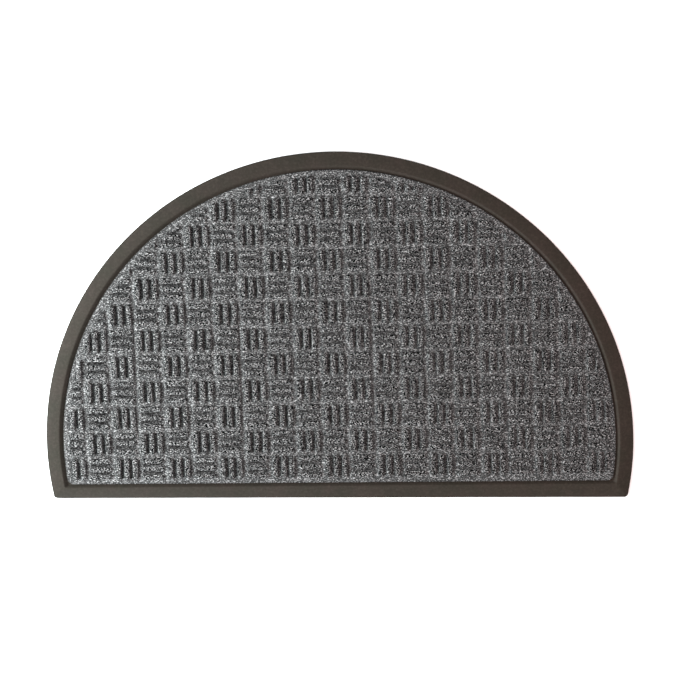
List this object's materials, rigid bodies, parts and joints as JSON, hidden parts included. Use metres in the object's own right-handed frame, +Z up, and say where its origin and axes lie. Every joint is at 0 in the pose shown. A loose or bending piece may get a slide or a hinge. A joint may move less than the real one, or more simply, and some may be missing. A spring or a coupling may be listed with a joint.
{
  "type": "half-round floor mat",
  "caption": "Half-round doormat: a moulded rubber tray with a sloped border holds a grey needle-felt insert pressed with a basket pattern of raised bars.",
  "frame": {"origin": "on the floor, under the middle of the mat's bounding box", "axes": "+X along the straight edge, +Y from the straight edge to the arc, +Z up"},
  "size_m": [0.75, 0.45, 0.0079],
  "materials": {
    "rubber": "dark brownish grey, satin, finely grained",
    "felt": "heather grey needle-felt, matt"
  },
  "bodies": {
    "root": {"rubber_tray": "rubber", "felt_insert": "felt"}
  },
  "joints": []
}
